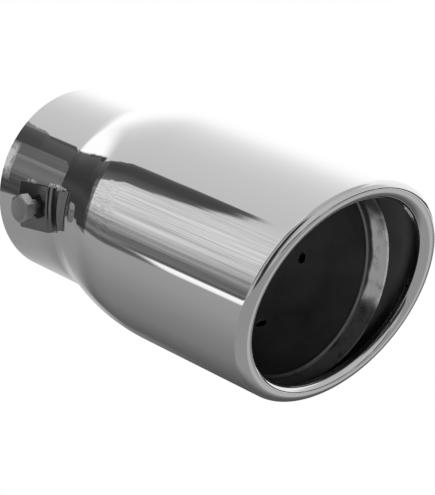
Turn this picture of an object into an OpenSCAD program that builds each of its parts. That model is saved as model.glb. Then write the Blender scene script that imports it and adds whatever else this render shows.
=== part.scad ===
// Slip-on exhaust tip for a car's tailpipe, in millimetres.
// A one-piece polished shell widens from a neck to a body with a slanted, rolled mouth. A perforated
// sleeve stands inside the body, and two screw clamps on the neck hold the tip to the pipe.
// +X runs from the neck to the mouth and +Z points up, on the mouth's long side.
// The origin is the centre of the neck's rear end.

/* [Neck] */
// Bore that slips over the tailpipe, diameter
neck_bore = 58; // [54:0.5:62]
// Straight length of the neck, up to the shoulder
neck_len = 27; // [24:0.5:45]
// Thickness of the shell's sheet
shell_wall = 1; // [0.8:0.1:1.4]

/* [Body] */
// Step outwards from the neck's outside to the body's outside
body_step = 6.1; // [5:0.1:10]
// Length of the shoulder between the neck and the body
shoulder_len = 34.5; // [24:0.5:45]
// Radius of the hollow curve where the shoulder leaves the neck
shoulder_root_r = 17; // [10:1:30]
// Full length, from the neck's rear end to the top of the mouth
overall_len = 134; // [120:1:190]
// Slant of the mouth from square, in degrees
mouth_slant = 15; // [0:0.5:24]

/* [Rolled lip] */
// Width of the roll, measured inwards from the body's outside
lip_w = 5.6; // [4.5:0.1:6.5]
// Depth of the roll's round front along the tip
lip_round = 2.7; // [1.8:0.1:3.2]
// Straight end of the roll, behind its round
lip_tail = 0.8; // [0.4:0.1:2.5]

/* [Inner sleeve] */
// Step outwards from the neck's outside to the sleeve's outside
sleeve_step = 2; // [1.4:0.1:3]
// Thickness of the sleeve's sheet
sleeve_wall = 0.8; // [0.6:0.1:1.2]
// Gap along the tip between the sleeve's front edge and the lowest point of the roll's end
sleeve_to_lip = 1; // [0.3:0.1:12]
// Distance of the ring of holes behind the sleeve's front edge
hole_ring_back = 35; // [8:1:50]
// Number of holes in the ring
hole_count = 8; // [4:1:16]
// Diameter of each hole
hole_d = 3.6; // [2:0.2:6]
// Angle of the first hole below level on the right-hand side, in degrees
hole_turn = 12.5; // [0:0.5:45]

/* [Clamps] */
// Angle by which the pair of clamps is turned from level, in degrees
clamp_turn = 0; // [-20:1:20]
// Distance of the clamps' middle behind the start of the shoulder
clamp_back = 5.2; // [4.6:0.1:10]
// Length of a clamp bracket along the tip
bracket_len = 16; // [13:0.5:20]
// Width of a clamp bracket's face round the neck
bracket_w = 14.5; // [11:0.5:20]
// Angle by which a bracket is welded askew, in degrees
bracket_skew = 8; // [0:1:12]
// Thickness of the bracket's sheet
bracket_wall = 1.2; // [1:0.1:1.5]
// Inner radius of the bracket's two bends
bracket_bend = 0.4; // [0.2:0.1:0.8]
// Radius of the tack welds beside the bracket's legs
tack_r = 1.2; // [0.9:0.1:1.6]
// Length of the tack welds, without their round ends
tack_len = 4; // [1:0.5:5]

/* [Screws and nuts] */
// Nominal diameter of the screw's thread
screw_d = 5; // [4:0.5:6]
// Length of the screw under its head
screw_len = 6; // [5.5:0.5:8]
// Width of the hexagon head across its flats
head_af = 8; // [7:0.5:11]
// Height of the hexagon head
head_h = 3.5; // [2.5:0.1:5]
// Side of the square nut
nut_side = 8; // [7:0.5:9.5]
// Height of the square nut
nut_h = 2.7; // [2:0.1:3.4]

/* [Hidden] */
$fn = 96;

// Clearances between the pieces
nut_to_bore = 0.2;
nut_to_bracket = 0.1;
nut_to_window = 0.3;
foot_to_neck = 0.05;
thread_clearance = 0.05;
bracket_hole_clearance = 0.25;
sleeve_to_shoulder = 0.1;

// Small features
arc_steps = 16;
lip_steps = 12;
seam_inset = 0.05;
seam_back = 0.3;
seam_lap = 2.5;
tack_inset = 0.8;
leg_reach = 2;
head_chamfer = 0.5;
head_chamfer_angle = 30;
tip_chamfer = 0.4;
nut_chamfer = 0.3;
cut = 1;

// Shell
bore_r = neck_bore / 2;
neck_r = bore_r + shell_wall;
body_r = neck_r + body_step;
shoulder_end = neck_len + shoulder_len;
crest_r = (pow(shoulder_len, 2) + pow(body_step, 2)) / (2 * body_step) - shoulder_root_r;
turn = 2 * atan(body_step / shoulder_len);
steel = "silver";
dark_steel = "dimgray";
zinc = "lightgray";

// Mouth: the roll's front lies in the plane x = mouth_x + slope * z
slope = tan(mouth_slant);
lip_a = lip_w / 2;
mouth_x = overall_len - slope * (body_r - lip_a)
    - (sqrt(pow(lip_round, 2) + pow(slope * lip_a, 2)) - lip_round);
seam_x = mouth_x - lip_round - seam_back;
lip_t = shell_wall - 2 * seam_inset;

// Sleeve
sleeve_r = neck_r + sleeve_step;
sleeve_front = mouth_x - slope * (body_r - lip_w / 2) - lip_round - lip_tail - sleeve_to_lip;
hole_ring_x = sleeve_front - hole_ring_back;

// Clamps, as distances from the tip's axis
clamp_x = neck_len - clamp_back;
nut_bottom = bore_r + nut_to_bore;
nut_top = nut_bottom + nut_h;
bracket_under = norm([nut_top, nut_side / 2]) + nut_to_bracket;
bracket_face = bracket_under + bracket_wall;
bracket_half_angle = bracket_w / 2 / bracket_face * 180 / PI;
screw_tip = nut_bottom;
head_under = screw_tip + screw_len;
head_top = head_under + head_h;
window = nut_side + 2 * nut_to_window;

// The shoulder's two arcs as points [radius, distance along the tip], for the sheet's outside
// (depth 0) or its inside (depth shell_wall)
function root_arc(depth) = [
    for (i = [0:arc_steps])
        let (b = turn * i / arc_steps, r = shoulder_root_r + depth)
            [neck_r + shoulder_root_r - r * cos(b), neck_len + r * sin(b)]
];
function crest_arc(depth) = [
    for (i = [1:arc_steps])
        let (b = turn * (1 - i / arc_steps), r = crest_r - depth)
            [body_r - crest_r + r * cos(b), shoulder_end - r * sin(b)]
];
function shoulder_points(depth) = concat(root_arc(depth), crest_arc(depth));
function reversed(points) = [for (i = [len(points) - 1:-1:0]) points[i]];

// Distance along the tip at which the shoulder's inside has radius r
crest_starts = body_r - crest_r + (crest_r - shell_wall) * cos(turn);
function inside_x(r) = r > crest_starts
    ? shoulder_end - sqrt(pow(crest_r - shell_wall, 2) - pow(r - body_r + crest_r, 2))
    : neck_len + sqrt(pow(shoulder_root_r + shell_wall, 2) - pow(neck_r + shoulder_root_r - r, 2));

// Turns a section drawn as [radius, distance along the tip] about the X axis
module along_x() {
    rotate([0, 90, 0]) rotate_extrude() children();
}

module shell_wall_section() {
    polygon(concat(
        [[neck_r, 0]], shoulder_points(0), [[body_r, overall_len + cut]],
        [[body_r - shell_wall, overall_len + cut]], reversed(shoulder_points(shell_wall)),
        [[bore_r, 0]]
    ));
}

// Half an ellipse about the roll's centre, from its outer side round the front to its inner side
function half_ellipse(a, b) = [
    for (i = [0:lip_steps])
        let (t = 180 * i / lip_steps)
            [body_r - seam_inset - lip_a + a * cos(t), -lip_round + b * sin(t)]
];

module lip_section() {
    outer = half_ellipse(lip_a, lip_round);
    inner = half_ellipse(lip_a - lip_t, lip_round - lip_t);
    lap = -lip_round - seam_back - seam_lap;
    tail = -lip_round - lip_tail;
    polygon(concat(
        [[outer[0].x, lap]], outer, [[outer[lip_steps].x, tail]],
        [[inner[lip_steps].x, tail]], reversed(inner), [[inner[0].x, lap]]
    ));
}

module rolled_lip() {
    multmatrix([[1, 0, slope, 0], [0, 1, 0, 0], [0, 0, 1, 0]])
        translate([mouth_x, 0, 0]) along_x() lip_section();
}

// Everything in front of the slanted plane that meets the tip's axis at x
module ahead_of(x) {
    reach = overall_len;
    translate([x, 0, 0]) rotate([0, mouth_slant, 0])
        translate([0, -reach, -reach]) cube([reach, 2 * reach, 2 * reach]);
}

// Puts children, drawn with +Z outwards and +X along the tip, at one of the two clamps
module at_clamp(side) {
    rotate([90 - clamp_turn + 180 * side, 0, 0]) translate([clamp_x, 0, 0]) children();
}

module outer_shell() {
    color(steel) difference() {
        union() {
            difference() {
                along_x() shell_wall_section();
                ahead_of(seam_x);
            }
            rolled_lip();
        }
        for (side = [0, 1])
            at_clamp(side) translate([-window / 2, -window / 2, bore_r - cut])
                cube([window, window, shell_wall + 2 * cut]);
    }
}

module inner_sleeve() {
    back = inside_x(sleeve_r + sleeve_to_shoulder);
    color(dark_steel) difference() {
        along_x() translate([sleeve_r - sleeve_wall, back])
            square([sleeve_wall, sleeve_front - back]);
        for (i = [0:hole_count - 1])
            rotate([-90 - hole_turn - i * 360 / hole_count, 0, 0])
                translate([hole_ring_x, 0, sleeve_r - sleeve_wall - cut])
                    cylinder(d = hole_d, h = sleeve_wall + 2 * cut);
    }
}

// Everything inside the outside of the neck and the shoulder, grown by gap
module neck_space(gap) {
    along_x() polygon(concat(
        [[0, -cut], [neck_r + gap, -cut]], shoulder_points(-gap), [[0, shoulder_end]]
    ));
}

// An outline as [radius, distance along the tip] with two round outer corners, out to radius top
module arch(half, top, bend) {
    bottom = neck_r - leg_reach;
    translate([bottom, -half]) square([top - bend - bottom, 2 * half]);
    translate([bottom, bend - half]) square([top - bottom, 2 * (half - bend)]);
    for (end = [-1, 1]) translate([top - bend, end * (half - bend)]) circle(bend);
}

module bracket_section() {
    half = bracket_len / 2;
    difference() {
        arch(half, bracket_face, bracket_bend + bracket_wall);
        translate([-cut, 0]) arch(half - bracket_wall, bracket_under + cut, bracket_bend);
    }
}

// A short round-ended bead on the neck, from the bracket's leg at this end towards its middle
module tack_weld(end, edge) {
    rotate([edge * bracket_half_angle, 0, 0])
        translate([end * (bracket_len / 2 - tack_inset), 0, neck_r]) {
            sphere(tack_r);
            rotate([0, -end * 90, 0]) cylinder(r = tack_r, h = tack_len);
            translate([-end * tack_len, 0, 0]) sphere(tack_r);
        }
}

module clamp_bracket(side) {
    color(steel) difference() {
        at_clamp(side) rotate([0, 0, bracket_skew]) union() {
            difference() {
                rotate([0, 90, 0])
                    rotate_extrude(angle = 2 * bracket_half_angle, start = 180 - bracket_half_angle)
                        bracket_section();
                translate([0, 0, bracket_under - cut])
                    cylinder(d = screw_d + 2 * bracket_hole_clearance, h = bracket_wall + 2 * cut);
            }
            for (end = [-1, 1], edge = [-1, 1]) tack_weld(end, edge);
        }
        neck_space(foot_to_neck);
    }
}

module clamp_nut(side) {
    bore = screw_d / 2 + thread_clearance;
    color(zinc) at_clamp(side) difference() {
        translate([-nut_side / 2, -nut_side / 2, nut_bottom]) cube([nut_side, nut_side, nut_h]);
        translate([0, 0, nut_bottom - cut]) cylinder(r = bore, h = nut_h + 2 * cut);
        translate([0, 0, nut_top - nut_chamfer])
            cylinder(r1 = bore, r2 = bore + 2 * nut_chamfer, h = 2 * nut_chamfer);
    }
}

module clamp_screw(side) {
    shank_r = screw_d / 2;
    corner_r = head_af / 2 / cos(30);
    chamfer_top = corner_r - head_chamfer / tan(head_chamfer_angle);
    color(zinc) at_clamp(side) {
        translate([0, 0, screw_tip])
            cylinder(r1 = shank_r - tip_chamfer, r2 = shank_r, h = tip_chamfer);
        translate([0, 0, screw_tip + tip_chamfer])
            cylinder(r = shank_r, h = head_under - screw_tip - tip_chamfer);
        intersection() {
            translate([0, 0, head_under]) cylinder(r = corner_r, h = head_h, $fn = 6);
            union() {
                translate([0, 0, head_under]) cylinder(r = corner_r + cut, h = head_h - head_chamfer);
                translate([0, 0, head_top - head_chamfer])
                    cylinder(r1 = corner_r, r2 = chamfer_top, h = head_chamfer);
            }
        }
    }
}

outer_shell();
inner_sleeve();
clamp_bracket(0);  // clamp_bracket_left
clamp_bracket(1);  // clamp_bracket_right
clamp_nut(0);  // clamp_nut_left
clamp_nut(1);  // clamp_nut_right
clamp_screw(0);  // clamp_screw_left
clamp_screw(1);  // clamp_screw_right
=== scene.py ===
# %% [markdown]
# # A slip-on exhaust tip, dressed for its picture
#
# The tip is one polished steel shell that widens from a neck to a body and ends in a slanted,
# rolled lip. A perforated sleeve stands inside it. On each side of the neck, a small bent bracket
# is tack welded over a square nut, and a hexagon screw goes through the nut to grip the tailpipe.
#
# The CAD model is loaded first. It is the frame that every piece below is built around, in metres,
# with +X running from the neck to the mouth and +Z up.

# %% Load the frame
import math
from types import SimpleNamespace

import bmesh
import bpy
from mathutils import Matrix, Vector, noise


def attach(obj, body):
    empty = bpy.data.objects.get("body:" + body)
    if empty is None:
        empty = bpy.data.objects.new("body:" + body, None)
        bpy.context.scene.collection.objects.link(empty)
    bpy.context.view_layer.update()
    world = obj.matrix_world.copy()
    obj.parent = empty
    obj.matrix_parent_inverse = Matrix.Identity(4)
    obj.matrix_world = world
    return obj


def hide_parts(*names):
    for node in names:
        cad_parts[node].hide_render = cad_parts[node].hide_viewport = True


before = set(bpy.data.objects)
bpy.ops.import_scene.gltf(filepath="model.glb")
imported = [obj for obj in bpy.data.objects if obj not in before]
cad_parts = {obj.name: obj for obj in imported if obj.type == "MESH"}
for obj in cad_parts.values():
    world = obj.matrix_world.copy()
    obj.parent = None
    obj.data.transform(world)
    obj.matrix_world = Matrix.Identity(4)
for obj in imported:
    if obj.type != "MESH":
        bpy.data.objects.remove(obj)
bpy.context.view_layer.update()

# %% [markdown]
# ## Sizes
#
# A maker thinks of sheet metal in millimetres, so the pieces are drawn in millimetres and made
# smaller by `MM` at the end. The numbers repeat those of the CAD model.

# %% The tip's sizes, in millimetres
MM = 0.001
NECK_R, BODY_R = 30.0, 36.1
WALL = 1.0
NECK_LEN, SHOULDER_LEN = 27.0, 34.5
ROOT_R = 17.0
OVERALL = 134.0
LIP_HALF, LIP_DEPTH, LIP_TAIL = 2.8, 2.7, 0.8
SLOPE = math.tan(math.radians(15))

STEP = BODY_R - NECK_R
SHOULDER_END = NECK_LEN + SHOULDER_LEN
CREST_R = (SHOULDER_LEN**2 + STEP**2) / (2 * STEP) - ROOT_R
TURN = 2 * math.atan(STEP / SHOULDER_LEN)
MOUTH_X = OVERALL - SLOPE * (BODY_R - LIP_HALF) - (math.hypot(LIP_DEPTH, SLOPE * LIP_HALF) - LIP_DEPTH)
print(f"shoulder turns by {math.degrees(TURN):.1f} degrees, crest radius {CREST_R:.1f} mm")
print(f"mouth at {MOUTH_X:.1f} mm")

# %% [markdown]
# ## Helpers for the meshes
#
# Most pieces here are turned or rolled, so they start from a line of points that is spun round an
# axis. A full spin needs `use_merge`, which closes the seam. `finished` scales the mesh to metres.
# `applied` turns modifiers into the mesh and marks the edges that turn sharply, so that a mirror
# surface beside a cut edge keeps its exact shading.

# %% Spin a line, and other ways to a mesh
FULL_TURN = 2 * math.pi
SHARP = math.radians(16)
WELD = 0.001


def spun(bm, points, steps, axis="X", angle=FULL_TURN, start=0.0):
    """Spins (along, radius) points, joined in their order, round an axis through the origin."""
    turn = Matrix.Rotation(start, 4, axis)
    place = (lambda a, r: Vector((a, 0, r))) if axis == "X" else (lambda a, r: Vector((r, 0, a)))
    line = [bm.verts.new(turn @ place(a, r)) for a, r in points]
    edges = [bm.edges.new(pair) for pair in zip(line, line[1:])]
    bmesh.ops.spin(bm, geom=line + edges, cent=(0, 0, 0), axis=(1, 0, 0) if axis == "X" else (0, 0, 1),
                   angle=angle, steps=steps, use_merge=angle == FULL_TURN, dvec=(0, 0, 0))
    return bm


def closed(bm):
    """Merges the points that meet, and turns the faces outwards."""
    bmesh.ops.remove_doubles(bm, verts=bm.verts, dist=WELD)
    bmesh.ops.recalc_face_normals(bm, faces=bm.faces)
    return bm


def rod(bm, radius, length, sides, where):
    bmesh.ops.create_cone(bm, cap_ends=True, segments=sides, radius1=radius, radius2=radius, depth=length,
                          matrix=where)
    return bm


def round_off(bm, edges, size, steps=2):
    bmesh.ops.bevel(bm, geom=edges, affect="EDGES", offset=size, segments=steps, profile=0.5, material=-1)


# %% Finish a piece, and cut it
def mark_sharp(mesh):
    bm = bmesh.new()
    bm.from_mesh(mesh)
    for edge in bm.edges:
        edge.smooth = len(edge.link_faces) == 2 and edge.calc_face_angle(0) < SHARP
    bm.to_mesh(mesh)
    bm.free()


def finished(bm, name, materials):
    """The millimetre mesh as an object at the origin, in metres."""
    bmesh.ops.scale(bm, vec=(MM, MM, MM), verts=bm.verts)
    mesh = bpy.data.meshes.new(name)
    bm.to_mesh(mesh)
    bm.free()
    for material in materials:
        mesh.materials.append(material)
    mesh.shade_smooth()
    piece = bpy.data.objects.new(name, mesh)
    bpy.context.scene.collection.objects.link(piece)
    return piece


def applied(piece):
    """Turns the piece's modifiers into its mesh."""
    bpy.context.view_layer.update()
    graph = bpy.context.evaluated_depsgraph_get()
    mesh = bpy.data.meshes.new_from_object(piece.evaluated_get(graph))
    piece.modifiers.clear()
    piece.data = mesh
    mark_sharp(mesh)
    return piece


def walled(piece, thickness, inside=0):
    """Gives a sheet its thickness inwards, with the inner faces this many material slots further on."""
    wall = piece.modifiers.new("wall", "SOLIDIFY")
    wall.thickness, wall.offset, wall.use_even_offset = thickness * MM, -1, True
    wall.material_offset = inside
    return applied(piece)


def cut_by(piece, cutter):
    """Takes the cutter's space out of the piece, and removes the cutter."""
    cut = piece.modifiers.new("cut", "BOOLEAN")
    cut.operation, cut.solver, cut.object = "DIFFERENCE", "EXACT", cutter
    applied(piece)
    bpy.data.objects.remove(cutter)
    return piece


def triangles(piece):
    return sum(len(face.vertices) - 2 for face in piece.data.polygons)


# %% [markdown]
# ## Shader node helpers
#
# `add` places a node and fills its inputs, with a socket as a link and anything else as a plain
# value. `calc` is a Math node. The masks below are all soft: they go from 0 to 1 over a stretch.

# %% Place nodes in a tree
def add(tree, kind, inputs=(), **settings):
    made = tree.nodes.new("ShaderNode" + kind)
    for key, value in settings.items():
        setattr(made, key, value)
    for key, value in dict(inputs).items():
        if isinstance(value, bpy.types.NodeSocket):
            tree.links.new(value, made.inputs[key])
        else:
            made.inputs[key].default_value = value
    return made


def calc(tree, operation, *values):
    return add(tree, "Math", enumerate(values), operation=operation).outputs[0]


def blended(tree, share, low, high):
    """A number that goes from low to high as share goes from 0 to 1."""
    return add(tree, "Mix", {0: share, 2: low, 3: high}, data_type="FLOAT").outputs[0]


def noise_at(tree, place, scale, detail, rough=0.5):
    made = add(tree, "TexNoise", {"Vector": place, "Scale": scale, "Detail": detail, "Roughness": rough})
    return made.outputs[0]


def centred(tree, noise_value, amount):
    """Noise between 0 and 1 as a push to both sides of 0."""
    return calc(tree, "MULTIPLY", calc(tree, "SUBTRACT", noise_value, 0.5), amount)


def turn_of(tree, up, across):
    """The turn of a point round the origin, in degrees."""
    return calc(tree, "MULTIPLY", calc(tree, "ARCTAN2", up, across), 180 / math.pi)


# %% Soft masks
def stepped(tree, value, low, high, to_low=0.0, to_high=1.0):
    """A soft step: to_low below low, to_high above high."""
    return add(tree, "MapRange", {0: value, 1: low, 2: high, 3: to_low, 4: to_high},
               interpolation_type="SMOOTHSTEP").outputs[0]


def falling(tree, value, low, high):
    """1 below low, 0 above high."""
    return stepped(tree, value, high, low)


def both(tree, *masks):
    whole = masks[0]
    for mask in masks[1:]:
        whole = calc(tree, "MULTIPLY", whole, mask)
    return whole


def between(tree, value, rise, fall):
    """1 between a soft rise and a soft fall, each with its start and end."""
    return both(tree, stepped(tree, value, *rise), falling(tree, value, *fall))


# %% [markdown]
# A picture's grey isn't a share of light, so `grey` turns one into the other. `tone` is a grey as a
# colour, `colour` goes between two shares of light, `ramp` is a curve of greys, and `over` lays one
# colour on another.

# %% Greys and colours
def grey(value):
    """A picture's grey, 0 to 255, as the linear light that shows it."""
    share = value / 255
    return share / 12.92 if share <= 0.04045 else ((share + 0.055) / 1.055) ** 2.4


def tone(value):
    return (grey(value),) * 3 + (1,)


def over(tree, below, above, share):
    return add(tree, "Mix", {0: share, 6: below, 7: above}, data_type="RGBA").outputs[2]


def colour(tree, share, low, high):
    return over(tree, (low,) * 3 + (1,), (high,) * 3 + (1,), share)


def ramp(tree, value, low, high, stops):
    """A curve of greys over value: stops are (value, grey 0 to 255)."""
    place = add(tree, "MapRange", {0: value, 1: low, 2: high, 3: 0.0, 4: 1.0}).outputs[0]
    made = add(tree, "ValToRGB", {0: place})
    elements = made.color_ramp.elements
    while len(elements) < len(stops):
        elements.new(0.5)
    for element, (at, shade) in zip(elements, sorted(stops)):
        element.position = (at - low) / (high - low)
        element.color = tone(shade)
    return made.outputs[0]


# %% [markdown]
# ## Materials
#
# Polished stainless steel is a mirror with a history: the buffing wheel leaves very fine lines
# round the tip, and hands and packing leave faint haze. Both effects are node groups, because the
# bracket, the screw and the sleeve need them too, at other strengths.

# %% The shared effects: fine lines, and patches of haze
def new_group(name, inputs, outputs):
    group = bpy.data.node_groups.new(name, "ShaderNodeTree")
    for label, value in inputs.items():
        kind = "NodeSocketVector" if isinstance(value, tuple) else "NodeSocketFloat"
        socket = group.interface.new_socket(label, in_out="INPUT", socket_type=kind)
        if not isinstance(value, tuple):
            socket.default_value = value
    for label in outputs:
        group.interface.new_socket(label, in_out="OUTPUT", socket_type="NodeSocketFloat")
    return group, group.nodes.new("NodeGroupInput"), group.nodes.new("NodeGroupOutput")


def make_polish_lines():
    """Fine lines from a wheel or a roller: noise that is stretched along one direction."""
    inputs = {"Place": (0, 0, 0), "Fineness": 1.0, "Contrast": 1.0}
    group, given, result = new_group("polish_lines", inputs, ["Height"])
    fine = noise_at(group, given.outputs["Place"], given.outputs["Fineness"], 4.0, 0.65)
    spread = centred(group, fine, given.outputs["Contrast"])
    group.links.new(calc(group, "ADD", spread, 0.5), result.inputs["Height"])
    return group


WIDE_SHARE, SPECK_SHARE, SPECK_SIZE = 0.6, 0.4, 9.0
HAZE_EDGE = 0.15


def make_haze():
    """Soft patches, 0 where the surface is clean and 1 where it is dulled."""
    inputs = {"Place": (0, 0, 0), "Size": 40.0, "Cover": 0.5}
    group, given, result = new_group("haze", inputs, ["Mask", "Wide"])
    place, size, cover = [given.outputs[label] for label in inputs]
    wide = noise_at(group, place, size, 3.0)
    speck = noise_at(group, place, calc(group, "MULTIPLY", size, SPECK_SIZE), 6.0, 0.7)
    patches = calc(group, "ADD", calc(group, "MULTIPLY", wide, WIDE_SHARE),
                   calc(group, "MULTIPLY", speck, SPECK_SHARE))
    edge = calc(group, "SUBTRACT", 0.75, calc(group, "MULTIPLY", cover, 0.5))
    mask = stepped(group, patches, edge, calc(group, "ADD", edge, HAZE_EDGE))
    group.links.new(mask, result.inputs["Mask"])
    group.links.new(wide, result.inputs["Wide"])
    return group


polish_lines, haze = make_polish_lines(), make_haze()


# %% Use the effects in a material
def placed(tree, scale):
    """Object coordinates, stretched by a Mapping node."""
    coords = add(tree, "TexCoord").outputs["Object"]
    return add(tree, "Mapping", {"Vector": coords, "Scale": scale}).outputs[0]


def use(tree, group, **values):
    made = add(tree, "Group")
    made.node_tree = group
    for label, value in values.items():
        if isinstance(value, bpy.types.NodeSocket):
            tree.links.new(value, made.inputs[label])
        else:
            made.inputs[label].default_value = value
    return made


def new_material(name):
    material = bpy.data.materials.new(name)
    material.use_nodes = True
    tree = material.node_tree
    shader = tree.nodes["Principled BSDF"]
    shader.inputs["Metallic"].default_value = 1.0
    return material, tree, shader, add(tree, "TexCoord").outputs["Object"]


def dress(tree, shader, looks, height, strength, depth):
    """Links each look to its input, and the height through a bump of this depth."""
    for label, socket in looks.items():
        tree.links.new(socket, shader.inputs[label])
    bump = add(tree, "Bump", {"Height": height, "Strength": strength, "Distance": depth * MM})
    tree.links.new(bump.outputs[0], shader.inputs["Normal"])


# %% [markdown]
# The shell's mirror finish is nearly perfect on the body. Its roughness rises a little in the haze.
# On the left of the neck's rear edge the polishing stopped short and left a pale, matt crescent. The
# bump is tiny, because a mirror shows a thousandth of a millimetre.

# %% Mirror steel for the shell
POLISHED, MATT = 0.035, 0.5
CRESCENT_END = (3.4 * MM, 4.0 * MM)
CRESCENT_LOW, CRESCENT_HIGH = (5, 10), (27, 31)


def make_mirror_steel():
    material, tree, shader, where = new_material("mirror_steel")
    along, across, up = add(tree, "SeparateXYZ", {0: where}).outputs
    dulled = use(tree, haze, Place=where, Size=60.0, Cover=0.25)
    mottle = use(tree, haze, Place=where, Size=420.0, Cover=0.62)
    ragged = calc(tree, "ADD", along, centred(tree, mottle.outputs["Wide"], 5.0 * MM))
    turn = turn_of(tree, up, calc(tree, "MULTIPLY", across, -1.0))
    crescent = both(tree, falling(tree, ragged, *CRESCENT_END),
                    between(tree, turn, CRESCENT_LOW, CRESCENT_HIGH))
    matt = both(tree, crescent, stepped(tree, mottle.outputs["Mask"], -0.6, 1.0))
    # In the mirror steel this share holds only wear: the haze and the matt crescent.
    wear_and_painted_light = calc(tree, "MAXIMUM", calc(tree, "MULTIPLY", dulled.outputs["Mask"], 0.12), matt)
    looks = {"Roughness": blended(tree, wear_and_painted_light, POLISHED, MATT),
             "Metallic": blended(tree, matt, 1.0, 0.2),
             "Base Color": colour(tree, wear_and_painted_light, 0.93, 0.97)}
    lines = use(tree, polish_lines, Place=placed(tree, (900, 30, 30)))
    waves = noise_at(tree, where, 45.0, 1.0)
    height = calc(tree, "ADD", waves, calc(tree, "MULTIPLY", lines.outputs[0], 0.02))
    dress(tree, shader, looks, height, 0.35, 0.05)
    return material


mirror_steel = make_mirror_steel()

# %% [markdown]
# Inside, nobody polishes the steel, so the shell's inner wall is dull. Its colour is also painted very dark,
# as shade inside the shell.

# %% Dull steel for the inside of the shell
def make_dull_shaded_inside():
    material, tree, shader, where = new_material("dull_shaded_inside")
    dulled = use(tree, haze, Place=where, Size=90.0, Cover=0.5)
    # The base colour is painted shade: very dark, varied by the haze's broad noise.
    looks = {"Roughness": blended(tree, dulled.outputs["Mask"], 0.38, 0.62),
             "Base Color": colour(tree, dulled.outputs["Wide"], 0.06, 0.11)}
    shader.inputs["Metallic"].default_value = 0.6
    lines = use(tree, polish_lines, Place=placed(tree, (1400, 60, 60)))
    dress(tree, shader, looks, lines.outputs[0], 0.3, 0.02)
    return material


dull_shaded_inside = make_dull_shaded_inside()

# %% [markdown]
# The sleeve's colour is painted dark as shade deep in the tube and on most of its front ring. Two places on
# it carry painted light: a painted highlight along the front slope of its pressed bead, and a mottled patch
# at the side of its front ring.

# %% The sleeve's steel
BEAD_X, BEAD_TILT = 103.4, -0.05
RIDGE_RISE, RIDGE_FALL = (BEAD_X - 0.1, BEAD_X + 0.2), (BEAD_X + 0.6, BEAD_X + 0.9)
RING_EDGE = (BEAD_X + 1.2, BEAD_X + 2.6)
PATCH_LOW, PATCH_HIGH = (-13.0, -8.0), (12.0, 19.0)


def in_metres(*sizes):
    return [size * MM for size in sizes]


def make_sleeve_steel():
    material, tree, shader, where = new_material("sleeve_steel")
    along, _, high = add(tree, "SeparateXYZ", {0: where}).outputs
    blotch = use(tree, haze, Place=where, Size=70.0, Cover=0.5)
    mottle = use(tree, haze, Place=where, Size=230.0, Cover=0.5)
    rag = centred(tree, blotch.outputs["Wide"], 4.0 * MM)
    ring = stepped(tree, calc(tree, "ADD", along, rag), *in_metres(*RING_EDGE))
    # The patch of painted light on the front ring lies between these heights, with ragged edges.
    patchy = calc(tree, "ADD", high, calc(tree, "MULTIPLY", rag, 3.0))
    bright_painted_light = both(tree, ring, between(tree, patchy, in_metres(*PATCH_LOW), in_metres(*PATCH_HIGH)))
    # A painted highlight: a light grey band along the front slope of the pressed bead.
    level = calc(tree, "SUBTRACT", along, calc(tree, "MULTIPLY", high, BEAD_TILT))
    bead_painted_highlight = between(tree, level, in_metres(*RIDGE_RISE), in_metres(*RIDGE_FALL))
    # Behind the front ring, the colour is painted dark as shade deep in the tube, with the bead's painted
    # highlight on it.
    deep_painted_shade = over(tree, colour(tree, blotch.outputs["Wide"], 0.02, 0.13), tone(150), bead_painted_highlight)
    # The front ring is painted dark as shade, and lighter in the patch of painted light.
    wear_and_painted_light = over(tree, colour(tree, mottle.outputs["Mask"], 0.14, 0.05),
                colour(tree, mottle.outputs["Mask"], 0.52, 0.28), bright_painted_light)
    looks = {"Base Color": over(tree, deep_painted_shade, wear_and_painted_light, ring),
             "Metallic": blended(tree, bright_painted_light, 0.75, 0.35),
             "Roughness": blended(tree, bright_painted_light, 0.46, 0.34)}
    lines = use(tree, polish_lines, Place=placed(tree, (1200, 50, 50)))
    dress(tree, shader, looks, lines.outputs[0], 0.4, 0.03)
    return material


sleeve_steel = make_sleeve_steel()

# %% [markdown]
# The bracket is pressed from strip and tumbled, so it is a soft, dark mirror. The welds are bright,
# lumpy and mottled. The screw and the nut are zinc plated, which gives a grainy, satin grey.

# %% Pressed strip, weld metal and zinc plate
def make_small_steel(name, rough, light, grain, cover, stretch, depth):
    """Steel that goes between two roughnesses and two shares of light in its grain's spots."""
    material, tree, shader, where = new_material(name)
    spots = use(tree, haze, Place=where, Size=grain, Cover=cover).outputs["Mask"]
    looks = {"Roughness": blended(tree, spots, *rough), "Base Color": colour(tree, spots, *light)}
    lines = use(tree, polish_lines, Place=placed(tree, stretch))
    height = calc(tree, "ADD", lines.outputs[0], calc(tree, "MULTIPLY", spots, -0.6))
    dress(tree, shader, looks, height, 0.6, depth)
    return material


bracket_steel = make_small_steel("bracket_steel", rough=(0.14, 0.30), light=(0.26, 0.17), grain=260.0,
                                 cover=0.35, stretch=(300, 1400, 1400), depth=0.02)
weld_metal = make_small_steel("weld_metal", rough=(0.18, 0.45), light=(0.85, 0.45), grain=700.0,
                              cover=0.55, stretch=(900, 900, 900), depth=0.12)
zinc_plate = make_small_steel("zinc_plate", rough=(0.34, 0.48), light=(0.54, 0.32), grain=300.0,
                              cover=0.42, stretch=(900, 900, 900), depth=0.03)
print("materials:", [material.name for material in bpy.data.materials])

# %% [markdown]
# ## The shell
#
# A real tip is a tube whose one end is widened on a mandrel, cut at a slant and rolled inwards.
# Here the sheet's outside is one line: neck, hollow root, long round crest, body, roll and the
# roll's cut end. It is spun round the axis. The lip's rings are then sheared, which slants the
# mouth and leaves the straight wall behind it as it was. Last, Solidify gives the sheet its
# thickness inwards, as a bent sheet has.

# %% The sheet's outside as points, from the neck's rear edge to the roll's cut end
ROUND_STEPS = 240


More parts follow.
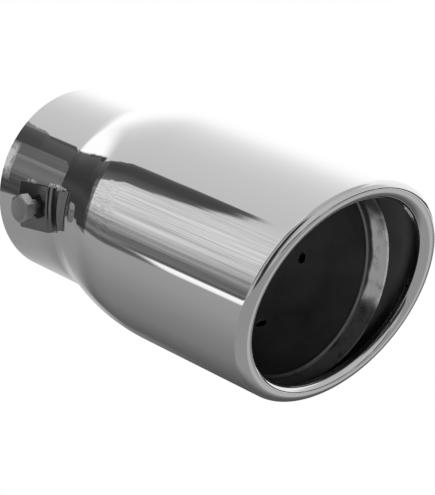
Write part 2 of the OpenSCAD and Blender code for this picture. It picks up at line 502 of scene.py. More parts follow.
def arc(centre, radius, low, high, steps):
    """Points on an arc, as (along, radius), with angles from the outward direction towards +X."""
    angles = [low + (high - low) * i / steps for i in range(steps + 1)]
    return [(centre[0] + radius * math.sin(a), centre[1] + radius * math.cos(a)) for a in angles]


neck_line = [(x, NECK_R) for x in (0, 0.6, 6, 12, 16.5, NECK_LEN - 0.7)]
root_line = arc((NECK_LEN, NECK_R + ROOT_R), -ROOT_R, 0, -TURN, 22)
crest_line = arc((SHOULDER_END, BODY_R - CREST_R), CREST_R, -TURN, 0, 34)[1:]
body_line = [(x, BODY_R) for x in (SHOULDER_END + 2, 80, 100)]
print(len(root_line), "points on the root,", len(crest_line), "on the crest")

LIP_LEAD, LIP_STEPS = 2.5, 32
lip_line = [(-LIP_DEPTH - LIP_LEAD, BODY_R), (-LIP_DEPTH - 0.6, BODY_R)]
for i in range(LIP_STEPS + 1):
    t = math.pi * i / LIP_STEPS
    lip_line.append((-LIP_DEPTH + LIP_DEPTH * math.sin(t), BODY_R - LIP_HALF + LIP_HALF * math.cos(t)))
lip_line.append((-LIP_DEPTH - LIP_TAIL, BODY_R - 2 * LIP_HALF))

# %% Spin the sheet, slant its mouth and give it its wall
SLANT = Matrix(((1, 0, SLOPE, 0), (0, 1, 0, 0), (0, 0, 1, 0), (0, 0, 0, 1)))
lip_back = MOUTH_X - LIP_DEPTH - LIP_LEAD


def facing_out(bm):
    """Turns the faces of an open sheet away from the tip's axis."""
    bmesh.ops.recalc_face_normals(bm, faces=bm.faces)
    low = min(bm.faces, key=lambda face: face.calc_center_median().x)
    middle = low.calc_center_median()
    if low.normal.dot(Vector((0, middle.y, middle.z))) < 0:
        bmesh.ops.reverse_faces(bm, faces=bm.faces)


def make_shell():
    bm = bmesh.new()
    lip = [(MOUTH_X + x, r) for x, r in lip_line]
    spun(bm, neck_line + root_line + crest_line + body_line + lip, ROUND_STEPS)
    bmesh.ops.remove_doubles(bm, verts=bm.verts, dist=WELD)
    front = [v for v in bm.verts if v.co.x > lip_back - 0.01]
    bmesh.ops.transform(bm, matrix=SLANT, verts=front)
    facing_out(bm)
    return walled(finished(bm, "polished_shell", [mirror_steel, dull_shaded_inside]), WALL, inside=1)


shell = make_shell()
print("shell:", triangles(shell), "triangles")

# %% [markdown]
# Two square windows in the neck let the nuts pass. They are cut with a Boolean, since a window's
# straight sides don't follow the rings of a spun mesh. `at_clamp` is the place of a clamp: local +Z
# points outwards there and local +X along the tip. The second clamp is the first turned by half a
# turn about the tip's axis.

# %% Where a clamp stands, and the windows under it
CLAMP_BACK = 5.2
CLAMP_X = NECK_LEN - CLAMP_BACK
WINDOW = 8.6
LEFT, RIGHT = 0, 1


def at_clamp(side):
    return Matrix.Rotation(math.pi / 2 + math.pi * side, 4, "X") @ Matrix.Translation((CLAMP_X, 0, 0))


def box_cutter(side, size, middle):
    bm = bmesh.new()
    place = at_clamp(side) @ Matrix.Translation(middle)
    bmesh.ops.create_cube(bm, size=1, matrix=place @ Matrix.Diagonal((*size, 1)))
    return finished(bm, "cutter", [])


for side in (LEFT, RIGHT):
    cut_by(shell, box_cutter(side, (WINDOW, WINDOW, 4), (0, 0, NECK_R - WALL / 2)))
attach(shell, "tip")
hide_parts("outer_shell")
print("shell with its windows:", triangles(shell), "triangles")

# %% [markdown]
# ## The sleeve
#
# The sleeve is a rolled tube with a pressed bead a little behind its front edge, which keeps it
# round, and a ring of eight holes. The bead goes into the line before the spin. The holes are cut
# by eight short cylinders at once.

# %% The sleeve with its bead and holes
SLEEVE_R, SLEEVE_WALL, SLEEVE_GAP = 32.0, 0.8, 0.1
SLEEVE_FRONT = MOUTH_X - SLOPE * (BODY_R - LIP_HALF) - LIP_DEPTH - LIP_TAIL - 1.0
HOLES, HOLE_R, HOLE_TURN = 8, 1.8, math.radians(12.5)
HOLE_X = SLEEVE_FRONT - 35
BEAD_HALF, BEAD_DEEP = 1.1, 0.45


def bead_line(middle, half, deep_painted_shade, radius, steps=12):
    """A smooth dip inwards in a straight line."""
    spots = [-1 + 2 * i / steps for i in range(steps + 1)]
    return [(middle + half * s, radius - deep_painted_shade * (0.5 + 0.5 * math.cos(math.pi * s))) for s in spots]


def make_sleeve():
    up_to_root = NECK_R + ROOT_R - SLEEVE_R - SLEEVE_GAP
    rear = NECK_LEN + math.sqrt((ROOT_R + WALL) ** 2 - up_to_root**2)
    line = [(rear, SLEEVE_R), (HOLE_X - 8, SLEEVE_R), (HOLE_X + 8, SLEEVE_R)]
    line += bead_line(BEAD_X, BEAD_HALF, BEAD_DEEP, SLEEVE_R)
    line += [(SLEEVE_FRONT - 0.3, SLEEVE_R), (SLEEVE_FRONT, SLEEVE_R)]
    bm = spun(bmesh.new(), line, 160)
    bead = [v for v in bm.verts if abs(v.co.x - BEAD_X) < BEAD_HALF + 0.01]
    tilt = Matrix(((1, 0, BEAD_TILT, 0), (0, 1, 0, 0), (0, 0, 1, 0), (0, 0, 0, 1)))
    bmesh.ops.transform(bm, matrix=tilt, verts=bead)
    facing_out(bm)
    return walled(finished(bm, "inner_sleeve_tube", [sleeve_steel]), SLEEVE_WALL)


def hole_cutters():
    bm = bmesh.new()
    for i in range(HOLES):
        turn = -math.pi / 2 - HOLE_TURN - i * FULL_TURN / HOLES
        where = Matrix.Rotation(turn, 4, "X") @ Matrix.Translation((HOLE_X, 0, SLEEVE_R - SLEEVE_WALL / 2))
        rod(bm, HOLE_R, 3, 32, where)
    return finished(bm, "cutter", [])


sleeve = cut_by(make_sleeve(), hole_cutters())
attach(sleeve, "tip")
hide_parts("inner_sleeve")
print("sleeve:", triangles(sleeve), "triangles, front edge at", round(SLEEVE_FRONT, 2))

# %% [markdown]
# ## The clamp brackets
#
# Each bracket is a strip with two short legs, bent round the neck and welded on a little askew. Its
# section along the tip is a closed outline with rounded bends. Spun through a small angle, it
# becomes the arched bracket. The legs are then trimmed to the neck and the shoulder.

# %% The bracket's outline, and a helper for round corners
BRACKET_LEN, BRACKET_WALL, BRACKET_FACE = 16.0, 1.2, 33.45
BRACKET_W, BEND, SKEW = 14.5, 0.4, math.radians(8)
HALF_ANGLE = BRACKET_W / 2 / BRACKET_FACE
FOOT, EDGE_BREAK = 0.05, 0.14


def rounded(corners, steps=8):
    """A line through (x, radius of place, bend) corners, with an arc at each corner that has a bend."""
    line = []
    for i, (x, r, bend) in enumerate(corners):
        here = Vector((x, r))
        if not bend:
            line.append((x, r))
            continue
        back = (Vector(corners[i - 1][:2]) - here).normalized()
        on = (Vector(corners[i + 1][:2]) - here).normalized()
        centre = here + (back + on) * bend
        for j in range(steps + 1):
            turned = math.pi / 2 * j / steps
            spot = centre - on * bend * math.cos(turned) - back * bend * math.sin(turned)
            line.append((spot.x, spot.y))
    return line


def bracket_outline():
    half, low = BRACKET_LEN / 2, NECK_R - 1.5
    inside, under = half - BRACKET_WALL, BRACKET_FACE - BRACKET_WALL
    wide = BEND + BRACKET_WALL
    return rounded([(-half, low, 0), (-half, BRACKET_FACE, wide), (half, BRACKET_FACE, wide), (half, low, 0),
                    (inside, low, 0), (inside, under, BEND), (-inside, under, BEND), (-inside, low, 0)])


print(len(bracket_outline()), "points in the bracket's outline")

# %% Spin, trim and bore a bracket
BORE_R, SHARP_BEND = 2.75, 1.2


def neck_cutter():
    """The space of the neck and the root of the shoulder, grown by the foot's small gap."""
    line = [(-1, 0), (-1, NECK_R + FOOT)]
    line += arc((NECK_LEN, NECK_R + ROOT_R), -ROOT_R + FOOT, 0, -TURN, 16)
    line += [(SHOULDER_END, line[-1][1]), (SHOULDER_END, 0)]
    return finished(closed(spun(bmesh.new(), line, 180)), "cutter", [])


def make_bracket(side, name):
    bm = bmesh.new()
    outline = bracket_outline()
    spun(bm, outline + outline[:1], 16, angle=2 * HALF_ANGLE, start=-HALF_ANGLE)
    bmesh.ops.remove_doubles(bm, verts=bm.verts, dist=WELD)
    bmesh.ops.holes_fill(bm, edges=[e for e in bm.edges if e.is_boundary])
    bmesh.ops.recalc_face_normals(bm, faces=bm.faces)
    rims = [e for e in bm.edges if e.calc_face_angle(0) > SHARP_BEND and e.verts[0].co.z > NECK_R]
    round_off(bm, rims, EDGE_BREAK)
    bmesh.ops.transform(bm, matrix=at_clamp(side) @ Matrix.Rotation(SKEW, 4, "Z"), verts=bm.verts)
    bracket = finished(bm, name, [bracket_steel])
    cut_by(bracket, neck_cutter())
    middle = at_clamp(side) @ Matrix.Translation((0, 0, BRACKET_FACE - BRACKET_WALL / 2))
    return cut_by(bracket, finished(rod(bmesh.new(), BORE_R, 4, 48, middle), "cutter", []))


SIDES = {LEFT: "left", RIGHT: "right"}
for side, word in SIDES.items():
    bracket = make_bracket(side, f"bracket_{word}")
    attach(bracket, "tip")
    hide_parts(f"clamp_bracket_{word}")
    print(bracket.name, triangles(bracket), "triangles")

# %% [markdown]
# ## The tack welds
#
# A tack weld is a drop of metal that froze while the torch moved on: a few overlapping lumps, each
# a little rippled. Balls are set along the bracket's foot and pushed in and out by a smooth noise.
# A fine voxel remesh then fuses them, so that each bead is one closed skin.

# %% Lumpy beads beside the bracket's legs
TACK_R, TACK_LEN, TACK_INSET = 1.15, 3.4, 0.6
LUMPS, SKIN = 4, 0.12


def add_lump(bm, seed, middle, size, turned):
    ball = bmesh.ops.create_icosphere(bm, subdivisions=4, radius=1)["verts"]
    for vert in ball:
        spot = vert.co * 1.7 + Vector((seed * 7.3, seed * 3.1, 0))
        vert.co *= 1 + 0.16 * noise.noise(spot) + 0.06 * noise.noise(spot * 4)
    place = turned @ Matrix.Translation(middle) @ Matrix.Diagonal((*size, 1))
    bmesh.ops.transform(bm, matrix=place, verts=ball)


def make_bead(side, end, edge, name, seed):
    """One bead at this end of the bracket (-1 rear, 1 front), on this edge (-1 below, 1 above)."""
    turned = at_clamp(side) @ Matrix.Rotation(SKEW, 4, "Z") @ Matrix.Rotation(edge * HALF_ANGLE, 4, "X")
    bm = bmesh.new()
    for i in range(LUMPS):
        x = end * (BRACKET_LEN / 2 - TACK_INSET - TACK_LEN * i / (LUMPS - 1))
        swell = 1 - 0.12 * ((seed + i) % 3)
        size = (TACK_R * 1.1 * swell, TACK_R * swell, TACK_R * swell)
        add_lump(bm, seed * LUMPS + i, (x, 0, NECK_R), size, turned)
    bead = finished(bm, name, [weld_metal])
    skin = bead.modifiers.new("skin", "REMESH")
    skin.mode, skin.voxel_size = "VOXEL", SKIN * MM
    return applied(bead)


seed = 1
for side, word in SIDES.items():
    for end, place in ((-1, "rear"), (1, "front")):
        for edge, height in ((-1, "low"), (1, "high")):
            bead = make_bead(side, end, edge, f"weld_{word}_{place}_{height}", seed)
            cut_by(bead, neck_cutter())
            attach(bead, "tip")
            seed += 1
print("beads:", seed - 1)

# %% [markdown]
# ## The nuts and the screws
#
# The nut is a square block with broken edges. The screw hides the nut's own thread, so its bore is
# plain here, a little wider than the screw's M5 thread, with a small chamfer at both ends. The
# cutter's two cones reach beyond the nut, so that no face of theirs lies in a face of the nut.

# %% The square nuts
NUT_SIDE, NUT_LOW, NUT_H, NUT_EDGE = 8.0, 29.2, 2.7, 0.35
NUT_CHAMFER, BEYOND = 0.2, 1.0
THREAD_R, THREAD_GAP = 2.5, 0.05


def make_nut(side, name):
    bm = bmesh.new()
    middle = Matrix.Translation((0, 0, NUT_LOW + NUT_H / 2))
    bmesh.ops.create_cube(bm, size=1, matrix=middle @ Matrix.Diagonal((NUT_SIDE, NUT_SIDE, NUT_H, 1)))
    round_off(bm, bm.edges[:], NUT_EDGE, steps=3)
    bmesh.ops.transform(bm, matrix=at_clamp(side), verts=bm.verts)
    nut = finished(bm, name, [zinc_plate])
    low, high, wide = NUT_LOW - BEYOND, NUT_LOW + NUT_H + BEYOND, THREAD_R + THREAD_GAP
    cone = NUT_CHAMFER + BEYOND
    line = [(low, 0), (low, wide + cone), (low + cone, wide)]
    line += [(high - cone, wide), (high, wide + cone), (high, 0)]
    bore = closed(spun(bmesh.new(), line, 48, axis="Z"))
    bmesh.ops.transform(bore, matrix=at_clamp(side), verts=bore.verts)
    return cut_by(nut, finished(bore, "cutter", []))


for side, word in SIDES.items():
    nut = make_nut(side, f"nut_{word}")
    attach(nut, "tip")
    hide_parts(f"clamp_nut_{word}")
print("nuts: 2, with", triangles(nut), "triangles each")

# %% [markdown]
# A thread is a spin that also climbs: `dvec` moves each step a little along the axis, so one small V
# becomes a helix. It starts a turn too low and ends a turn too high, and both ends are cut flat.

# %% The thread
PITCH = 0.8
THREAD_ROOT = THREAD_R - 0.61 * PITCH


def thread(bm, low, high):
    """A V thread round local Z, from low to high."""
    steps, crest, flat = 32, PITCH / 2, PITCH * 0.08
    turns = math.ceil((high - low) / PITCH) + 2
    start = low - PITCH
    spots = [(0, THREAD_ROOT), (crest - flat, THREAD_R), (crest + flat, THREAD_R), (PITCH, THREAD_ROOT)]
    line = [bm.verts.new((r, 0, start + z)) for z, r in spots]
    edges = [bm.edges.new(pair) for pair in zip(line, line[1:])]
    bmesh.ops.spin(bm, geom=line + edges, cent=(0, 0, 0), axis=(0, 0, 1), angle=FULL_TURN * turns,
                   steps=steps * turns, dvec=(0, 0, PITCH / steps))
    bmesh.ops.remove_doubles(bm, verts=bm.verts, dist=WELD)
    for height, side in ((low, -1), (high, 1)):
        bmesh.ops.bisect_plane(bm, geom=bm.verts[:] + bm.edges[:] + bm.faces[:], dist=0.0001,
                               plane_co=(0, 0, height), plane_no=(0, 0, side), clear_outer=True)
    rims = [e for e in bm.edges if e.is_boundary]
    bmesh.ops.holes_fill(bm, edges=rims)
    bmesh.ops.recalc_face_normals(bm, faces=bm.faces)


# %% [markdown]
# The screw's head is a forged hexagon with a thin round washer face under it, a coned top and a
# shallow dish. The hexagon is cut by the cone: the two shapes are intersected, as a die does it.

# %% The head
SCREW_TIP, HEAD_UNDER, HEAD_H, HEAD_FLATS = 29.2, 35.2, 3.5, 8.0
HEAD_R = HEAD_FLATS / 2 / math.cos(math.radians(30))
WASHER_FACE, WASHER_R = 0.35, 3.8
CONE_DEEP, DISH_DEEP = 0.62, 0.12


def make_hexagon():
    middle = Matrix.Translation((0, 0, HEAD_UNDER + (HEAD_H + WASHER_FACE) / 2))
    bm = rod(bmesh.new(), HEAD_R, HEAD_H - WASHER_FACE, 6, middle)
    upright = [e for e in bm.edges if abs(e.verts[0].co.z - e.verts[1].co.z) > 1]
    round_off(bm, upright, EDGE_BREAK)
    return finished(bm, "hexagon", [zinc_plate])


def make_cone():
    """What the hexagon keeps: room for the washer face below, and a cone with a dish on top."""
    top, low, face = HEAD_UNDER + HEAD_H, HEAD_UNDER, HEAD_UNDER + WASHER_FACE
    line = [(low, 0), (low, WASHER_R - 0.05), (face, WASHER_R + 0.05), (face, 6.0), (top - CONE_DEEP, 5.8)]
    line += [(top - CONE_DEEP, 4.75), (top - 0.12, 3.88), (top, 3.6), (top - 0.05, 3.0)]
    line += [(top - DISH_DEEP, 1.5), (top - DISH_DEEP, 0)]
    return finished(closed(spun(bmesh.new(), line, 96, axis="Z")), "cone", [zinc_plate])


# %% Join head, washer face and thread
def make_screw(side, name):
    hexagon, cone = make_hexagon(), make_cone()
    face = Matrix.Translation((0, 0, HEAD_UNDER + WASHER_FACE))
    washer = rod(bmesh.new(), WASHER_R, WASHER_FACE * 2, 96, face)
    shank = bmesh.new()
    thread(shank, SCREW_TIP, HEAD_UNDER + 0.2)
    parts = [(cone, "INTERSECT"), (finished(washer, "washer", [zinc_plate]), "UNION"),
             (finished(shank, "shank", [zinc_plate]), "UNION")]
    for other, how in parts:
        join = hexagon.modifiers.new("join", "BOOLEAN")
        join.operation, join.solver, join.object = how, "EXACT", other
        applied(hexagon)
        bpy.data.objects.remove(other)
    hexagon.name = name
    hexagon.data.transform(Matrix.Scale(MM, 4) @ at_clamp(side) @ Matrix.Scale(1 / MM, 4))
    return hexagon


for side, word in SIDES.items():
    screw = make_screw(side, f"screw_{word}")
    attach(screw, f"screw_{word}")
    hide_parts(f"clamp_screw_{word}")
print("screws: 2, with", triangles(screw), "triangles each")

# %% [markdown]
# ## The studio
#
# A mirror shows its surroundings, so most of this tip's look is the room. The room is painted on
# the World and seen only in the steel: a grey table below, soft light above that is whiter towards
# the horizon, a dark flag behind the tip, and a wall of soft streaks beside it. The camera itself
# sees plain white.
#
# For the half of the room behind the tip (-X), a direction is turned into a place on a flat wall
# there: `p` to the right (+Y) and `q` up. The streaks fan out on that wall from one point, so they
# follow the `angle` round it. `over_axis` is the turn round the tip's axis, and `around` the turn on
# the ground.

# %% Read a direction
FAN_P, FAN_Q = 0.15, -0.1
BACK_HALF, LEAST_BEHIND = (0.50, 0.64), 0.05
WHITE = (1, 1, 1, 1)


def read_direction(tree):
    way = add(tree, "TexCoord").outputs["Generated"]
    x, y, z = add(tree, "SeparateXYZ", {0: way}).outputs
    backwards = calc(tree, "MULTIPLY", x, -1.0)
    behind = calc(tree, "MAXIMUM", backwards, LEAST_BEHIND)
    p, q = calc(tree, "DIVIDE", y, behind), calc(tree, "DIVIDE", z, behind)
    out = calc(tree, "SQRT", calc(tree, "ADD", calc(tree, "MULTIPLY", p, p), calc(tree, "MULTIPLY", q, q)))
    angle = turn_of(tree, calc(tree, "SUBTRACT", q, FAN_Q), calc(tree, "SUBTRACT", FAN_P, p))
    return SimpleNamespace(way=way, z=z, p=p, q=q, out=out, angle=angle, around=turn_of(tree, y, x),
                           over_axis=turn_of(tree, z, y), back_half=stepped(tree, backwards, *BACK_HALF))


def fan_noise(tree, at):
    """Fine noise that is stretched along the streaks."""
    across, along = calc(tree, "MULTIPLY", at.angle, 1.1), calc(tree, "MULTIPLY", at.p, 9.0)
    return noise_at(tree, add(tree, "CombineXYZ", {0: across, 1: along}).outputs[0], 1.0, 5.0, 0.68)


# %% [markdown]
# The light all round changes with the compass, and the lip shows all of it as thin lines. A dark
# line lies low on the horizon. Behind the tip, the sky runs over the axis from white to grey.

# %% The light above and all round
SKY = [(-20, 252), (20, 250), (32, 244), (42, 233), (52, 221), (62, 211), (75, 202), (90, 195), (118, 189),
       (140, 198), (180, 200)]
ROUND_ABOUT = [(-180, 200), (-150, 205), (-142, 240), (-135, 140), (-125, 92), (-116, 108), (-106, 175),
               (-94, 160), (-86, 88), (-77, 48), (-62, 38), (-55, 60), (-47, 135), (-38, 168), (-22, 178),
               (30, 176), (44, 190), (54, 228), (98, 238), (180, 240)]
WANDER = 46.0
OVERHEAD, OVERHEAD_GREY = (0.76, 0.90), 165
LINE_LOW, LINE_HIGH, LINE_GREY = (-0.22, -0.19), (-0.08, -0.04), 42
LINE_FROM, LINE_TO, LINE_BREAKS = (-30.0, -12.0), (98.0, 104.0), (0.32, 0.42)
AXIS_GLOW, AXIS_GREY = (0.34, 0.52), 252


def paint_light(tree, at):
    wandered = calc(tree, "ADD", at.around, centred(tree, noise_at(tree, at.way, 2.6, 3.0, 0.6), WANDER))
    light = ramp(tree, wandered, -180, 180, ROUND_ABOUT)
    light = over(tree, light, tone(OVERHEAD_GREY), stepped(tree, at.z, *OVERHEAD))
    broken = stepped(tree, noise_at(tree, at.way, 9.0, 2.0), *LINE_BREAKS)
    line = both(tree, between(tree, at.z, LINE_LOW, LINE_HIGH), stepped(tree, at.around, *LINE_FROM),
                falling(tree, wandered, *LINE_TO), broken)
    light = over(tree, light, tone(LINE_GREY), line)
    sky = ramp(tree, at.over_axis, -20, 180, SKY)
    sky = over(tree, sky, tone(AXIS_GREY), falling(tree, at.out, *AXIS_GLOW))
    return over(tree, light, sky, at.back_half)


# %% [markdown]
# Behind the tip, the table darkens from left to right, with a gleam on the left. In front, a lighter
# and a darker patch lie on it. A patch is given by its azimuth and elevation, and by how straight
# towards it the ray must go.

# %% The table
TABLE = [(-155, 150), (-142, 146), (-130, 138), (-115, 128), (-100, 120), (-90, 115), (-80, 105), (-70, 96),
         (-55, 84), (-42, 76)]
FRONT_GREY = 140
FRONT_PATCHES = [((54, -32), (0.93, 0.995), 172), ((125, -48), (0.68, 0.95), 82)]
GLEAM, GLEAM_GREY, GLEAM_REACH = ((147, -24), (0.960, 1.0)), 205, (0.70, 1.10)


def patch(tree, at, middle, straight):
    """1 straight towards this azimuth and elevation, less to its sides."""
    turn, rise = map(math.radians, middle)
    towards = (math.cos(rise) * math.cos(turn), math.cos(rise) * math.sin(turn), math.sin(rise))
    facing = add(tree, "VectorMath", {0: at.way, 1: towards}, operation="DOT_PRODUCT").outputs["Value"]
    return stepped(tree, facing, *straight)


def paint_table(tree, at):
    front = tone(FRONT_GREY)
    for middle, straight, shade in FRONT_PATCHES:
        front = over(tree, front, tone(shade), patch(tree, at, middle, straight))
    table = over(tree, front, ramp(tree, at.over_axis, -155, -42, TABLE), at.back_half)
    gleam = both(tree, patch(tree, at, *GLEAM), falling(tree, at.out, *GLEAM_REACH), at.back_half)
    return over(tree, table, tone(GLEAM_GREY), gleam)


# %% [markdown]
# The wall's streaks are a curve of greys over the fan's angle, shifted and brightened by the fine
# noise. Its lower edge catches a bright glint further out.

# %% The wall of streaks
STREAKS = [(-16.2, 150), (-14.6, 96), (-12.8, 78), (-11.2, 96), (-9.4, 118), (-7.6, 116), (-6.0, 99),
           (-3.0, 104), (-1.0, 120), (1.6, 152), (3.0, 138), (4.8, 138), (6.2, 184), (7.6, 166), (9.4, 184),
           (11.0, 182), (12.6, 204), (15.0, 196), (17.0, 190), (22.0, 203), (30.0, 205), (40.0, 200)]
GLINT = [(-15.6, 150), (-14.4, 238), (-12.6, 246), (-11.7, 255), (-11.0, 205), (-10.4, 108), (-9.6, 82),
         (-8.6, 86), (-7.2, 113)]
STREAK_SHIFT, STREAK_SHINE = 2.4, (0.60, 1.32)
WALL_LOW, WALL_HIGH, WALL_EDGE = (-16.4, -15.8), (44.0, 46.0), (-0.34, -0.30)
GLINT_OUT, GLINT_TOP = (-0.912, -0.885), (-8.2, -7.2)


def paint_wall(tree, at, fine):
    """The wall's colour, and where it stands."""
    shifted = calc(tree, "ADD", at.angle, centred(tree, fine, STREAK_SHIFT))
    wall = ramp(tree, shifted, -16.2, 40.0, STREAKS)
    dim, bright_painted_light = STREAK_SHINE
    shine = add(tree, "MapRange", {0: fine, 1: 0.3, 2: 0.7, 3: dim, 4: bright_painted_light}).outputs[0]
    wall = add(tree, "Mix", {0: 1.0, 6: wall, 7: shine}, data_type="RGBA", blend_type="MULTIPLY").outputs[2]
    glint = both(tree, falling(tree, at.p, *GLINT_OUT), falling(tree, at.angle, *GLINT_TOP))
    wall = over(tree, wall, ramp(tree, at.angle, -15.6, -7.2, GLINT), glint)
    height = between(tree, at.angle, WALL_LOW, WALL_HIGH)
    return wall, both(tree, falling(tree, at.p, *WALL_EDGE), height, at.back_half)


# %% [markdown]
# The dark flag has two parts: a long one with soft bands, which makes the wedge on the body, and a
# plain one in the middle. Each is a convex shape on the wall, with its corners in (p, q) and ragged
# edges.

# %% The flags
FLAG_HIGH = [(-0.20, 0.40), (-0.459, 0.80), (-0.54, 0.885), (-0.575, 0.865), (-0.62, 0.817), (-0.662, 0.762),
             (-0.70, 0.69), (-0.715, 0.60), (-0.60, 0.47), (-0.36, 0.26)]
FLAG_LOW = [(-0.45, -0.32), (0.10, -0.10), (0.12, 0.15), (-0.17, 0.42), (-0.36, 0.27), (-0.48, 0.05)]
FLAG_BANDS, FLAG_GREY = [(36, 112), (39, 92), (43, 80), (47, 64), (52, 66), (57, 92)], 58
FLAG_RAG, BAND_SHIFT = 0.035, 6.0


def convex_card(tree, place, corners, soft):
    """1 inside the corners, which go counter-clockwise as (p, q), and 0 outside."""
    inside = None
    for (p1, q1), (p2, q2) in zip(corners, corners[1:] + corners[:1]):
        length = math.hypot(p2 - p1, q2 - q1)
        a, b = (q1 - q2) / length, (p2 - p1) / length
        line = (a, b, -(a * p1 + b * q1))
        edge = add(tree, "VectorMath", {0: place, 1: line}, operation="DOT_PRODUCT").outputs["Value"]
        inside = edge if inside is None else calc(tree, "MINIMUM", inside, edge)
    return stepped(tree, inside, -soft, soft)


def lay_flags(tree, at, fine, light):
    spot = add(tree, "CombineXYZ", {0: at.p, 1: at.q, 2: 1.0}).outputs[0]
    rag = add(tree, "TexNoise", {"Vector": spot, "Scale": 16.0, "Detail": 3.0}).outputs["Color"]
    rag = add(tree, "VectorMath", {0: rag, 1: (-0.5, -0.5, -0.5)}, operation="ADD").outputs[0]
    rag = add(tree, "VectorMath", {0: rag, 1: (FLAG_RAG, FLAG_RAG, 0.0)}, operation="MULTIPLY").outputs[0]
    place = add(tree, "VectorMath", {0: spot, 1: rag}, operation="ADD").outputs[0]
    shifted = calc(tree, "ADD", at.angle, centred(tree, fine, BAND_SHIFT))
    high = both(tree, convex_card(tree, place, FLAG_HIGH, 0.01), at.back_half)
    low = both(tree, convex_card(tree, place, FLAG_LOW, 0.014), at.back_half)
    light = over(tree, light, ramp(tree, shifted, 36, 57, FLAG_BANDS), high)
    return over(tree, light, tone(FLAG_GREY), low)


# %% [markdown]
# The painted parts are laid over one another. The table's edge is soft, and the table also fills the
# strip under the wall's lower edge.

# %% Put the room together
TABLE_EDGE, UNDER_WALL, UNDER_LEFT = (-0.275, -0.235), (-16.2, -15.6), (-0.1, 0.0)
ROOM_LIGHT = 1.08


def make_room():
    world = bpy.data.worlds.new("studio")
    world.use_nodes = True
    tree = world.node_tree
    tree.nodes.clear()
    at = read_direction(tree)
    fine = fan_noise(tree, at)
    table = paint_table(tree, at)
    light = over(tree, table, paint_light(tree, at), stepped(tree, at.z, *TABLE_EDGE))
    under_wall = both(tree, falling(tree, at.angle, *UNDER_WALL), falling(tree, at.p, *UNDER_LEFT),
                      at.back_half)
    light = over(tree, light, table, under_wall)
    light = over(tree, light, *paint_wall(tree, at, fine))
    light = lay_flags(tree, at, fine, light)

    seen = add(tree, "Background", {0: WHITE, 1: 1.0}).outputs[0]
    room = add(tree, "Background", {0: light, 1: ROOM_LIGHT}).outputs[0]
    camera_ray = add(tree, "LightPath").outputs["Is Camera Ray"]
    shown = add(tree, "MixShader", {0: camera_ray, 1: room, 2: seen}).outputs[0]
    tree.links.new(shown, add(tree, "OutputWorld").inputs[0])
    return world


bpy.context.scene.world = make_room()
print("room:", len(bpy.context.scene.world.node_tree.nodes), "nodes")

# %% [markdown]
# The neck and the shoulder show a dark flag with a sharp round edge that the body doesn't show.
# That can only be something close by, so it is a card of its own: a round one, just behind the
# neck, dark on the left and pale below. It is smoked like a filter and lets some of the wall's
# streaks through. The steel alone sees it.
#
# The greys and the film's opacity change with the turn on the card, from -60 to 130 degrees, where 0
# is on the left and 90 below.

# %% The card behind the neck
CARD_X, CARD_R = -20, 71
CARD_BANDS = [(-60, 105), (-52, 95), (-48, 86), (-44, 76), (-40, 66), (-34, 58), (-24, 50), (-20, 54),
              (-14, 66), (-9, 60), (-4, 52), (4, 56), (11.2, 54), (12.4, 142), (30, 143), (46, 141),
              (60, 144), (70, 151), (80, 162), (90, 176), (100, 188), (130, 200)]
CARD_FILM = [(-60, 220), (-45, 232), (-36, 238), (-25, 240), (-23.6, 215), (-22.6, 220), (-20, 232),
             (-10, 228), (0, 232), (12, 236), (16, 245), (130, 245)]
CARD_RIM, CARD_RAG = (CARD_R - 0.8, CARD_R + 0.8), 7.0
STEP_AT, STEP_DOWN, TOP_TURN = (56.0, 58.0), 3.5, (52.0, 57.5)
DARK_END, PALE_RIM, PALE_END = (11.2, 12.4), (54.0, 74.0), (118.0, 128.0)


def make_smoked_card():
    material = bpy.data.materials.new("smoked_card")
    material.use_nodes = True
    tree = material.node_tree
    tree.nodes.clear()
    place = add(tree, "TexCoord").outputs["Object"]
    _, y, z = add(tree, "SeparateXYZ", {0: place}).outputs
    flat = add(tree, "CombineXYZ", {1: y, 2: z}).outputs[0]
    out = calc(tree, "DIVIDE", add(tree, "VectorMath", {0: flat}, operation="LENGTH").outputs["Value"], MM)
    turn = turn_of(tree, calc(tree, "MULTIPLY", z, -1.0), calc(tree, "MULTIPLY", y, -1.0))
    level = calc(tree, "SUBTRACT", turn, stepped(tree, out, *STEP_AT, 0.0, STEP_DOWN))
    ragged = calc(tree, "ADD", level, centred(tree, noise_at(tree, place, 260.0, 3.0), CARD_RAG))
    top = stepped(tree, calc(tree, "ADD", ragged, stepped(tree, out, 44.0, 30.0, *TOP_TURN)), -0.6, 0.6)
    dark = both(tree, top, falling(tree, out, *CARD_RIM), falling(tree, ragged, *DARK_END))
    pale = both(tree, stepped(tree, ragged, *DARK_END), falling(tree, out, *PALE_RIM),
                falling(tree, turn, *PALE_END))
    film = both(tree, calc(tree, "ADD", dark, pale), ramp(tree, turn, -60, 130, CARD_FILM))
    glow = add(tree, "Emission", {0: ramp(tree, level, -60, 130, CARD_BANDS), 1: ROOM_LIGHT}).outputs[0]
    clear = add(tree, "BsdfTransparent").outputs[0]
    mixed = add(tree, "MixShader", {0: film, 1: clear, 2: glow}).outputs[0]
    tree.links.new(mixed, add(tree, "OutputMaterial").inputs[0])
    return material


near = finished(spun(bmesh.new(), [(CARD_X, 6), (CARD_X, 80)], 64), "smoked_card", [make_smoked_card()])
near.visible_camera = near.visible_diffuse = near.visible_shadow = False
print("card: radius", CARD_R, "mm, at x", CARD_X, "mm")

# %% [markdown]
# ## Floor, camera and colour
#
# The floor is a pale sheet under the body. It glows softly, so that it shows no shadow, like the
# lit table of a catalogue photograph, and the steel doesn't see it: its grey table is the World's.

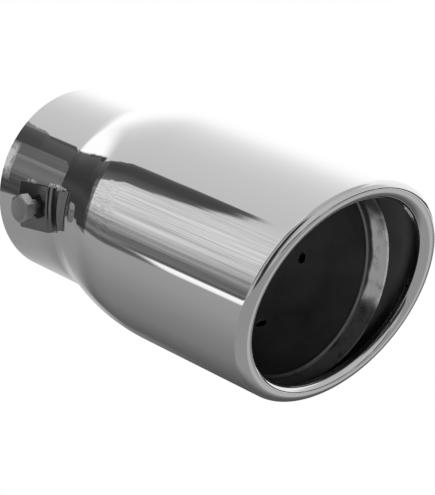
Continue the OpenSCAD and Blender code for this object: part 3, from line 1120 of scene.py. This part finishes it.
# %% The floor
FLOOR_HALF, FLOOR_DROP = 1500, 0.3


def make_floor():
    bm = bmesh.new()
    bmesh.ops.create_grid(bm, x_segments=1, y_segments=1, size=FLOOR_HALF,
                          matrix=Matrix.Translation((0, 0, -BODY_R - FLOOR_DROP)))
    pale = bpy.data.materials.new("pale_floor")
    pale.use_nodes = True
    pale.node_tree.nodes.clear()
    glow = add(pale.node_tree, "Emission", {0: WHITE, 1: 1.0}).outputs[0]
    pale.node_tree.links.new(glow, add(pale.node_tree, "OutputMaterial").inputs[0])
    floor = finished(bm, "floor", [pale])
    floor.visible_glossy = floor.visible_diffuse = floor.visible_shadow = False
    return floor


make_floor()

# %% [markdown]
# The mouth needs a lamp of its own: the sleeve's front ring is only satin, and it takes its light
# from the front left. The mirror finish doesn't show this lamp.

# %% The lamp that looks into the mouth
def make_lamp():
    soft = bpy.data.lights.new("mouth_lamp", "AREA")
    soft.energy, soft.size = 3.0, 0.12
    lamp = bpy.data.objects.new("mouth_lamp", soft)
    aim, stand = Vector((110, 25, 8)) * MM, Vector((520, -260, -20)) * MM
    lamp.location = stand
    lamp.rotation_euler = (aim - stand).to_track_quat("-Z", "Y").to_euler()
    lamp.visible_glossy = lamp.visible_camera = False
    bpy.context.scene.collection.objects.link(lamp)


make_lamp()

# %% The camera
EYE = Vector((534.51, -430.57, 183.61)) * MM
RIGHT_WAY, UP_WAY = (0.65108, 0.75028, 0.11477), (-0.28601, 0.10246, 0.95273)
BACK_WAY = (0.70306, -0.65313, 0.28129)
lens = bpy.data.cameras.new("camera")
lens.lens, lens.sensor_width, lens.sensor_fit = 159.03, 36, "AUTO"
lens.clip_start, lens.clip_end = 0.01, 20
camera = bpy.data.objects.new("camera", lens)
looking = Matrix((RIGHT_WAY, UP_WAY, BACK_WAY)).transposed().to_4x4()
camera.matrix_world = Matrix.Translation(EYE) @ looking
bpy.context.scene.collection.objects.link(camera)
bpy.context.scene.camera = camera
bpy.context.scene.view_settings.view_transform = "Standard"
print("camera at", [round(c, 3) for c in EYE])
